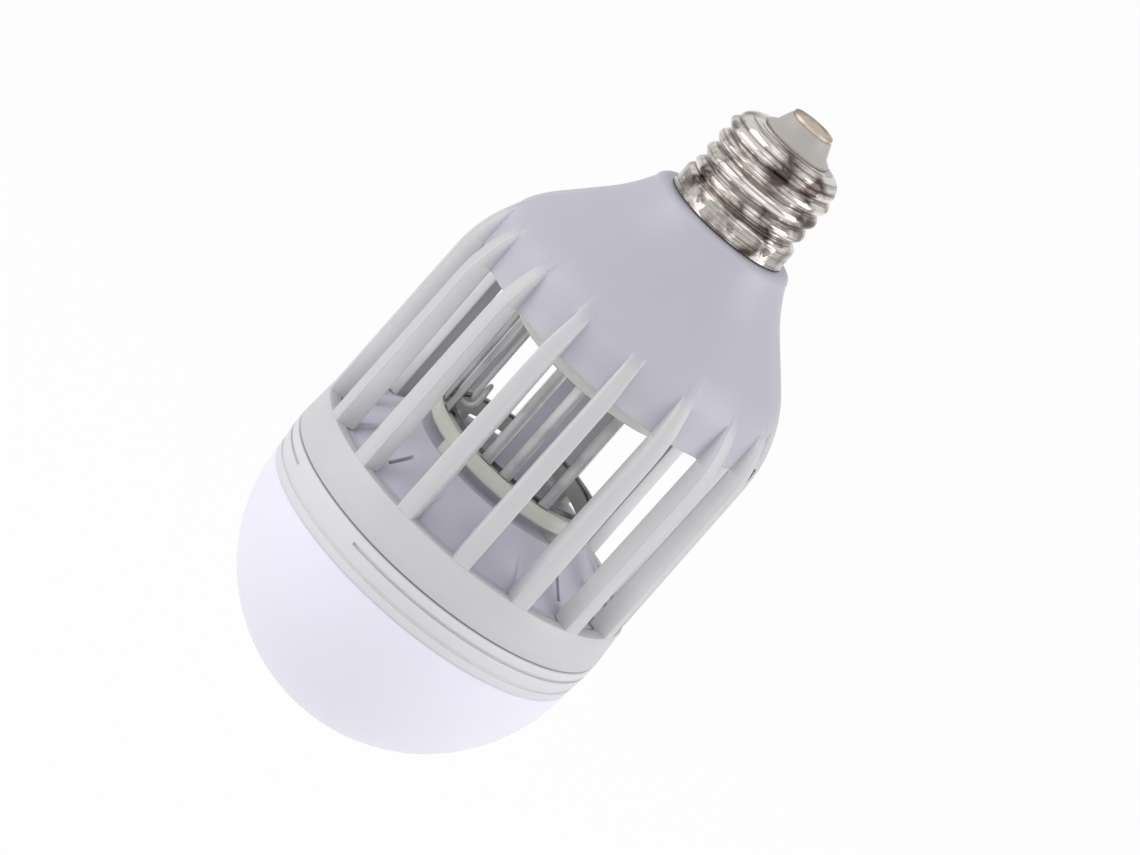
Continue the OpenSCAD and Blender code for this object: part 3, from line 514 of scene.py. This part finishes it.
# %% Housing
shape = bmesh.new()
shape.from_mesh(sheet.data)
thin = shape.verts.layers.float.new("thin")
side = shape.verts.layers.float.new("side")
ends = [f for f in shape.faces if all(v.co.x < 0.5 for v in f.verts)
        or all(v.co.x > ALL_COLUMNS - 0.5 for v in f.verts)]
bmesh.ops.delete(shape, geom=ends, context="FACES_ONLY")
for point in shape.verts:
    column, row = round(point.co.x) % ALL_COLUMNS, round(point.co.y)
    blade = column % COLUMNS < len(FIN_COLUMNS)
    level = rows[row][1]
    # painted light: a blade turns pale over 3 mm, from just above its tip, and the bell turns half as pale
    # over the last 4 mm above a window; the sides of a blade get a lighter colour still, as painted light
    fade = (FIN_TIP + 0.5 - level) / 3 if blade else 0.5 * (Z_WINDOW + 4 - level) / 4
    point[thin] = 1.0 if level <= Z_RING else min(1.0, max(0.0, fade))
    if blade and row < last_window_row:
        point[side] = point[thin] * FIN_COLUMNS[column % COLUMNS][2]
    point.co = housing_place(column, row, 0 if point.co.z > -0.5 else 1)
shape.to_mesh(sheet.data)
shape.free()
close_seam(sheet)
finish_piece(sheet, "bell_and_fins", "cage_housing", angle=38)

# %% [markdown]
# ## The screw cap
# The cap is drawn from thin brass sheet, and its thread is rolled in, so it is round and shallow and shows
# inside too. The pattern's rows follow the cap from its skirt to its mouth. The thread is a wave that
# moves on by one pitch in each turn, and it fades out at both ends. The skirt is staked to the neck with
# ten punched dimples.

# %% Cap pattern
ROOT_R, THREAD_DEPTH, PITCH = 12.05, 1.1, 3.63
THREAD_LOW, THREAD_HIGH, SKIRT_R = -22.0, -8.4, 13.6
THREAD_FADE, THREAD_PHASE, THREAD_SHARPNESS = 1.1, 90, 1.15
CAP_FOOT, FLARE, CAP_WALL, MOUTH_R, CAP_SHOULDER_H = -27.0, 0.25, 0.4, 8.0, 2.4
CAP_COLUMNS, THREAD_ROWS, SKIRT_ROWS = 240, 56, 12
DIMPLES, DIMPLE_LEVEL, DIMPLE_R, DIMPLE_DEPTH = 10, -24.7, 0.62, 0.5
FIRST_DIMPLE, DIMPLE_REACH = 279.85, 2.5
# a row of the cap is a level and a radius
cap_rows = [(CAP_FOOT, SKIRT_R + FLARE), (CAP_FOOT + 0.2, SKIRT_R + 0.14), (CAP_FOOT + 0.6, SKIRT_R)]
cap_rows += [(CAP_FOOT + 0.9 + 0.28 * i, SKIRT_R) for i in range(SKIRT_ROWS)]
cap_rows += [(THREAD_LOW - 0.72, SKIRT_R - 0.12), (THREAD_LOW - 0.5, SKIRT_R - 0.45),
             (THREAD_LOW - 0.25, ROOT_R + 0.6), (THREAD_LOW, ROOT_R + 0.1)]
cap_rows += [(THREAD_LOW + (THREAD_HIGH - THREAD_LOW) * i / THREAD_ROWS, ROOT_R)
             for i in range(1, THREAD_ROWS + 1)]
for angle in (12, 24, 36, 48, 60, 72, 82, 90):
    a = math.radians(angle)
    cap_rows.append((THREAD_HIGH + CAP_SHOULDER_H * math.sin(a), MOUTH_R + (ROOT_R - MOUTH_R) * math.cos(a)))
cap_rows += [(-6.12, MOUTH_R - 0.18), (-6.45, MOUTH_R - 0.25)]


def cap_place(column, row):
    level, radius = cap_rows[row]
    angle = column * 360 / CAP_COLUMNS
    fade = max(0.0, min(1.0, (level - THREAD_LOW) / THREAD_FADE, (THREAD_HIGH - level) / THREAD_FADE))
    wave = 0.5 + 0.5 * math.cos(math.radians(angle - 360 * level / PITCH - THREAD_PHASE))
    radius += fade * THREAD_DEPTH * wave ** THREAD_SHARPNESS
    for i in range(DIMPLES):
        away = (angle - FIRST_DIMPLE - i * 360 / DIMPLES + 180) % 360 - 180
        distance = math.hypot(math.radians(away) * SKIRT_R, level - DIMPLE_LEVEL)
        if distance < DIMPLE_REACH:
            radius -= DIMPLE_DEPTH * math.exp(-((distance / DIMPLE_R) ** 2))
    a = math.radians(angle)
    return Vector((radius * math.cos(a), radius * math.sin(a), level)) * MM


# %% [markdown]
# ## Tarnish and painted shade on the cap
# Hands and holders keep the crests of the thread bright, while its hollows turn dark, as tarnish and as
# painted shade. The dimples, the very foot of the skirt and the inside of the mouth are darkened as painted
# shade, and all of the skirt is a little dark as a painted dark reflection. Each point keeps a share from
# 0, bright, to 1, dark. Solidify gives the wrapped pattern the thickness of the brass.

# %% Cap
# how dark the whole skirt is painted, as a painted dark reflection
SKIRT_PAINTED_REFLECTION = 0.42


# painted shade inside the mouth, in the dimples and at the foot, a painted dark reflection on the skirt, and
# tarnish and painted shade in the thread's hollows
def tarnish_and_painted_shade(level, radius):
    if radius < MOUTH_R + 0.1:
        return 1.0
    if level < THREAD_LOW - 0.6:
        dark = 6.0 * (SKIRT_R - 0.1 - radius) if level > DIMPLE_LEVEL - 1.4 else CAP_FOOT + 0.25 - level
        return max(SKIRT_PAINTED_REFLECTION, dark)
    if level < THREAD_HIGH + 0.3:
        depth = (ROOT_R + THREAD_DEPTH - radius) / THREAD_DEPTH
        return 3.0 * depth - 1.15
    return 0.0


cap = flat_pattern(CAP_COLUMNS, len(cap_rows) - 1)
for point in cap.data.vertices:
    point.co = cap_place(round(point.co.x) % CAP_COLUMNS, round(point.co.y))
close_seam(cap)
add_modifier(cap, "SOLIDIFY", thickness=CAP_WALL * MM, offset=-1)
hollow = cap.data.attributes.new("hollow", "FLOAT", "POINT")
for i, point in enumerate(cap.data.vertices):
    share = tarnish_and_painted_shade(point.co.z / MM, math.hypot(point.co.x, point.co.y) / MM)
    hollow.data[i].value = max(0.0, min(1.0, share))
finish_piece(cap, "threaded_cap", "screw_cap", angle=50)

# %% [markdown]
# ## Turned pieces
# The insulator, the contact and the dome are round. On a bench they would be turned or moulded from one
# half section, and spin does the same: one point is extruded along the section, and the line is swept
# round the axis. Doubles along the axis are merged, and the normals are set outwards.

# %% Turning
def turn(section, steps=128):
    start_fresh()
    bpy.ops.mesh.primitive_plane_add(size=0.001)
    piece = bpy.context.object
    bpy.ops.object.mode_set(mode="EDIT")
    bpy.ops.mesh.select_all(action="SELECT")
    bpy.ops.mesh.merge(type="CENTER")
    first = section[0]
    bpy.ops.transform.translate(value=(first[0] * MM, 0, first[1] * MM))
    for before, after in zip(section, section[1:]):
        move = ((after[0] - before[0]) * MM, 0, (after[1] - before[1]) * MM)
        bpy.ops.mesh.extrude_vertices_move(TRANSFORM_OT_translate={"value": move})
    bpy.ops.mesh.select_all(action="SELECT")
    bpy.ops.mesh.spin(steps=steps, angle=math.tau, center=(0, 0, 0), axis=(0, 0, 1))
    bpy.ops.mesh.select_all(action="SELECT")
    bpy.ops.mesh.remove_doubles(threshold=0.000002)
    bpy.ops.mesh.normals_make_consistent(inside=False)
    bpy.ops.object.mode_set(mode="OBJECT")
    return piece


def arc_points(centre, radius, start, end, count):
    return [on_arc(centre, radius, start + (end - start) * i / count) for i in range(count + 1)]


# %% [markdown]
# ## Insulator and contact
# The insulator is a stepped cone, bored for the stem of the contact. The contact is a disc with a raised rim,
# and its edge is rolled over.

# %% Insulator and contact
CONE_TOP, CONE_FOOT, CONE_BORE = -0.9, -12.4, 1.65
insulator = turn(
    [(CONE_BORE, CONE_FOOT), (CONE_BORE, CONE_TOP), (4.7, CONE_TOP)]
    + arc_points((4.75, CONE_TOP - 0.6), 0.6, 85, 15, 4) + [(6.5, -4.1)]
    + arc_points((7.3, -5.2), 0.5, 40, 0, 3)
    + [(7.6, -6.9), (9.6, -7.6), (11.2, -9.2), (11.3, CONE_FOOT), (CONE_BORE, CONE_FOOT)])
finish_piece(insulator, "insulator_cone", "cap_insulator")
STEM_R, STEM_FOOT = 1.5, -13.4
contact = turn(
    [(0, 0), (2.2, 0), (2.6, -0.12), (3.2, -0.12), (3.7, -0.02), (4.3, -0.06)]
    + arc_points((4.5, -0.45), 0.42, 80, -20, 5)
    + [(4.9, CONE_TOP + 0.05), (STEM_R, CONE_TOP), (STEM_R, STEM_FOOT), (0, STEM_FOOT)], steps=96)
finish_piece(contact, "contact_disc", "centre_contact")

# %% [markdown]
# ## The dome
# The dome is most of a thin ball. A ledge carries the collar, and a lip above it snaps inside.

# %% Dome
DOME_R, DOME_T, Z_COLLAR, Z_BOTTOM = 39.4, 1.4, -123.6, -162.5
LEDGE_R, LIP_R, LIP_IN, LIP_TOP, LIP_FOOT = 38.9, 37.15, 35.85, -120.2, -125.1
DOME_C = Z_BOTTOM + DOME_R
edge_angle = math.degrees(math.asin((Z_COLLAR - DOME_C) / DOME_R))
dome = turn(
    arc_points((0, DOME_C), DOME_R, -90, edge_angle - 0.6, 44)
    + [(LEDGE_R + 0.2, Z_COLLAR - 0.08), (LEDGE_R, Z_COLLAR), (LIP_R, Z_COLLAR), (LIP_R, LIP_TOP),
       (LIP_IN, LIP_TOP), (LIP_IN, LIP_FOOT)]
    + arc_points((0, DOME_C), DOME_R - DOME_T, -3.2, -90, 36), steps=144)
finish_piece(dome, "milky_dome", "diffuser_dome")

# %% [markdown]
# ## Softened edges
# The collar and the grid's rings have the right shape in the CAD model, but its edges are
# knife sharp. A real moulding has small radii that catch the light. A copy of the CAD mesh is merged, its
# flat parts are joined into single faces, and a narrow bevel rounds each edge. A dark line of painted shade
# along the collar's top edge draws the seam.

# %% Softening
def softened(node, name, width, angle=40):
    piece = bpy.data.objects.new(name, nodes[node].data.copy())
    bpy.context.scene.collection.objects.link(piece)
    pick(piece)
    bpy.ops.object.mode_set(mode="EDIT")
    bpy.ops.mesh.select_all(action="SELECT")
    bpy.ops.mesh.remove_doubles(threshold=0.000004)
    bpy.ops.mesh.dissolve_limited(angle_limit=math.radians(0.4))
    bpy.ops.object.mode_set(mode="OBJECT")
    add_modifier(piece, "BEVEL", width=width * MM, segments=2, limit_method="ANGLE",
                 angle_limit=math.radians(angle))
    return finish_piece(piece, name, node, angle=angle)


SEAM_SHADE_HEIGHT = 0.3
collar = softened("collar", "grooved_collar", 0.18)
# painted shade along the collar's top edge, in the seam
painted_seam_shade = collar.data.attributes.new("painted_seam_shade", "FLOAT", "POINT")
for i, point in enumerate(collar.data.vertices):
    painted_seam_shade.data[i].value = 1.0 if point.co.z > (Z_SEAM - SEAM_SHADE_HEIGHT) * MM else 0.0
softened("grid_lower_ring", "lower_grid_ring", 0.12)
softened("grid_upper_ring", "upper_grid_ring", 0.12)

# %% [markdown]
# ## The grid's strips
# Four flat strips stand between two feet of the rings, so there are sixteen. Every second one belongs to
# the live side. A strip is sheared from steel, which leaves its long edges a little round. Each strip is a
# cube, and one bevel rounds them all.

# %% Strips
GROUPS, FIRST_STRIP, STRIP_STEP = 4, 79.95, 14.2
STRIP_R, STRIP_LOW, STRIP_HIGH = 20.3, -94.7, -65.8
STRIP_T, STRIP_W = 0.5, 2.7


def strip_set(name, node, first):
    start_fresh()
    for i in range(2 * GROUPS):
        group, place = divmod(i, 2)
        angle = math.radians(FIRST_STRIP + group * 360 / GROUPS + (first + 2 * place) * STRIP_STEP)
        bpy.ops.mesh.primitive_cube_add(
            size=1, location=(STRIP_R * MM * math.cos(angle), STRIP_R * MM * math.sin(angle),
                              (STRIP_LOW + STRIP_HIGH) / 2 * MM),
            rotation=(0, 0, angle), scale=(STRIP_T * MM, STRIP_W * MM, (STRIP_HIGH - STRIP_LOW) * MM))
    strips = [o for o in bpy.context.scene.objects if o.name.startswith("Cube")]
    start_fresh()
    for strip in strips:
        strip.select_set(True)
    bpy.context.view_layer.objects.active = strips[0]
    bpy.ops.object.transform_apply(location=True, rotation=True, scale=True)
    bpy.ops.object.join()
    piece = bpy.context.object
    add_modifier(piece, "BEVEL", width=0.12 * MM, segments=2, limit_method="ANGLE",
                 angle_limit=math.radians(40))
    finish_piece(piece, name, node)


strip_set("live_strips", "grid_strips_live", 0)
strip_set("return_strips", "grid_strips_return", 1)

# %% [markdown]
# ## The two leads
# A lead is a soft round wire, so a curve with a round bevel makes it. The return lead hangs down inside the
# grid and makes one slack turn before it reaches its ring, so that the ring can be lifted for soldering.

# %% Leads
def lead(name, node, path, diameter):
    start_fresh()
    bpy.ops.curve.primitive_nurbs_path_add()
    piece = bpy.context.object
    curve = piece.data
    curve.splines.clear()
    spline = curve.splines.new("NURBS")
    spline.points.add(len(path) - 1)
    for point, place in zip(spline.points, path):
        point.co = (place[0] * MM, place[1] * MM, place[2] * MM, 1)
    spline.use_endpoint_u = True
    spline.order_u = 3
    curve.bevel_depth = diameter / 2 * MM
    curve.bevel_resolution = 3
    curve.use_fill_caps = True
    pick(piece)
    bpy.ops.object.convert(target="MESH")
    finish_piece(bpy.context.object, name, node)


LEAD_R, STOP_R, TURN_R, LEAD_D, LEAD_TOP = 15.7, 17.75, 2.2, 1.2, -55.5
TURN_STEPS, TURN_SIDEWAYS, LOW_RING = 16, 1.6, -92.7
Z_TURN = LOW_RING + LEAD_D / 2 + TURN_R + 1.5
turn_path = []
for i in range(TURN_STEPS + 1):
    a = math.radians(i * 360 / TURN_STEPS)
    turn_path.append((-LEAD_R + TURN_SIDEWAYS * i / TURN_STEPS, TURN_R - TURN_R * math.cos(a),
                      Z_TURN - TURN_R * math.sin(a)))
return_path = ([(-LEAD_R, 0, LEAD_TOP), (-LEAD_R, 0, -62), (-LEAD_R, 0, -70), (-LEAD_R, 0, -76)] + turn_path
               + [(-LEAD_R + 1.55, 0, Z_TURN - 2.2), (-LEAD_R + 0.4, 0, -91.9), (-STOP_R + 1.0, 0, -91.95),
                  (-STOP_R, 0, -91.95)])
lead("slack_lead", "return_lead", return_path, LEAD_D)
live_path = [(LEAD_R, 0, LEAD_TOP), (LEAD_R, 0, -61), (LEAD_R, 0, -66), (LEAD_R + 0.2, 0, -68.2),
             (LEAD_R + 0.8, 0, -68.55), (STOP_R, 0, -68.55)]
lead("straight_lead", "live_lead", live_path, LEAD_D)

# %% [markdown]
# ## Camera
# The photograph looks at the lamp from 15 degrees above its waist and leans it over by turning the camera.
# The aim, the distance and the lens come from lines drawn over the photograph. The camera is built from
# its three directions: the one it looks along, and the two that are right and up in the picture.

# %% Camera
AXIS_POINT = Vector((0, 0, -80.7 * MM))
DISTANCE, ASIDE = 845.8 * MM, 3.46 * MM
ELEVATION, POLAR, LEAN = math.radians(15.3), math.radians(273.85), math.radians(41.45)
away = Vector((math.cos(ELEVATION) * math.cos(POLAR), math.cos(ELEVATION) * math.sin(POLAR),
               math.sin(ELEVATION)))
level_right = Vector((-math.sin(POLAR), math.cos(POLAR), 0))
place = AXIS_POINT + DISTANCE * away
aim = AXIS_POINT + ASIDE * level_right
back = (place - aim).normalized()
level_right = (level_right - level_right.dot(back) * back).normalized()
level_up = back.cross(level_right)
right = math.cos(LEAN) * level_right + math.sin(LEAN) * level_up
up = back.cross(right)
bpy.ops.object.camera_add()
camera = bpy.context.object
camera.name = "photo_camera"
camera.matrix_world = Matrix(((right.x, up.x, back.x, place.x), (right.y, up.y, back.y, place.y),
                              (right.z, up.z, back.z, place.z), (0, 0, 0, 1)))
camera.data.sensor_width = 36
camera.data.lens = 130.3
camera.data.clip_start = 0.01
bpy.context.scene.camera = camera
print("camera at", [round(v, 3) for v in place])

# %% [markdown]
# ## Floor
# The photograph has a plain white ground. The floor lies well below the lamp, which hangs from its cap, and
# keeps a faint shadow. The camera, glass and bright metal see it nearly white, whatever light falls on it.

# %% Floor
def seen_directly(tree):
    path = tree.nodes.new("ShaderNodeLightPath")
    share = add_math(tree, "ADD", path.outputs["Is Camera Ray"], path.outputs["Is Transmission Ray"])
    return add_math(tree, "ADD", share, path.outputs["Is Glossy Ray"])


FLOOR_LEVEL, FLOOR_GLOW = -0.26, 0.95
start_fresh()
bpy.ops.mesh.primitive_plane_add(size=12, location=(0, 0, FLOOR_LEVEL))
floor = bpy.context.object
floor.name = "studio_floor"
pale, tree, shader = new_material("pale_floor")
shader.inputs["Base Color"].default_value = (0.9, 0.9, 0.9, 1)
shader.inputs["Roughness"].default_value = 0.8
glow = tree.nodes.new("ShaderNodeEmission")
mixer = tree.nodes.new("ShaderNodeMixShader")
tree.links.new(add_math(tree, "MULTIPLY", seen_directly(tree), FLOOR_GLOW), mixer.inputs["Fac"])
tree.links.new(shader.outputs["BSDF"], mixer.inputs[1])
tree.links.new(glow.outputs["Emission"], mixer.inputs[2])
tree.links.new(mixer.outputs["Shader"], tree.nodes["Material Output"].inputs["Surface"])
floor.data.materials.append(pale)

# %% [markdown]
# ## Backdrop
# What the camera, glass and bright metal see of the world is white too. What lights the lamp is a plain
# grey sky.

# %% Backdrop
SKY_STRENGTH = 0.66
world = bpy.data.worlds.new("white_ground")
bpy.context.scene.world = world
world.use_nodes = True
tree = world.node_tree
sky = tree.nodes["Background"]
sky.inputs["Color"].default_value = (1, 1, 1, 1)
sky.inputs["Strength"].default_value = SKY_STRENGTH
white = tree.nodes.new("ShaderNodeBackground")
white.inputs["Strength"].default_value = 1.0
mixer = tree.nodes.new("ShaderNodeMixShader")
tree.links.new(seen_directly(tree), mixer.inputs["Fac"])
tree.links.new(sky.outputs["Background"], mixer.inputs[1])
tree.links.new(white.outputs["Background"], mixer.inputs[2])
tree.links.new(mixer.outputs["Shader"], tree.nodes["World Output"].inputs["Surface"])

# %% [markdown]
# ## Studio lamps
# Four large lamps add to the sky: one on each side, one above and one low in front. Their size keeps the
# shadows soft and gives the metal broad reflections.

# %% Studio lamps
LAMP_MIDDLE = Vector((0, 0, -0.09))


def softbox(name, direction, distance, size, power):
    start_fresh()
    spot = LAMP_MIDDLE + direction.normalized() * distance
    bpy.ops.object.light_add(type="AREA", location=spot)
    lamp = bpy.context.object
    lamp.name = name
    lamp.data.shape = "RECTANGLE"
    lamp.data.size, lamp.data.size_y = size
    lamp.data.energy = power
    lamp.rotation_euler = (LAMP_MIDDLE - spot).to_track_quat("-Z", "Y").to_euler()


softbox("left_box", -level_right + back * 0.35 + Vector((0, 0, 0.2)), 1.0, (0.8, 1.2), 4.8)
softbox("right_box", level_right + back * 0.1 + Vector((0, 0, 0.3)), 1.0, (0.6, 1.0), 4.0)
softbox("top_box", back * 0.6 + Vector((0, 0, 1.0)), 1.2, (1.0, 1.0), 1.0)
softbox("front_box", back + Vector((0, 0, -0.35)), 1.3, (1.2, 1.2), 3.5)

bpy.context.scene.view_settings.view_transform = "Standard"
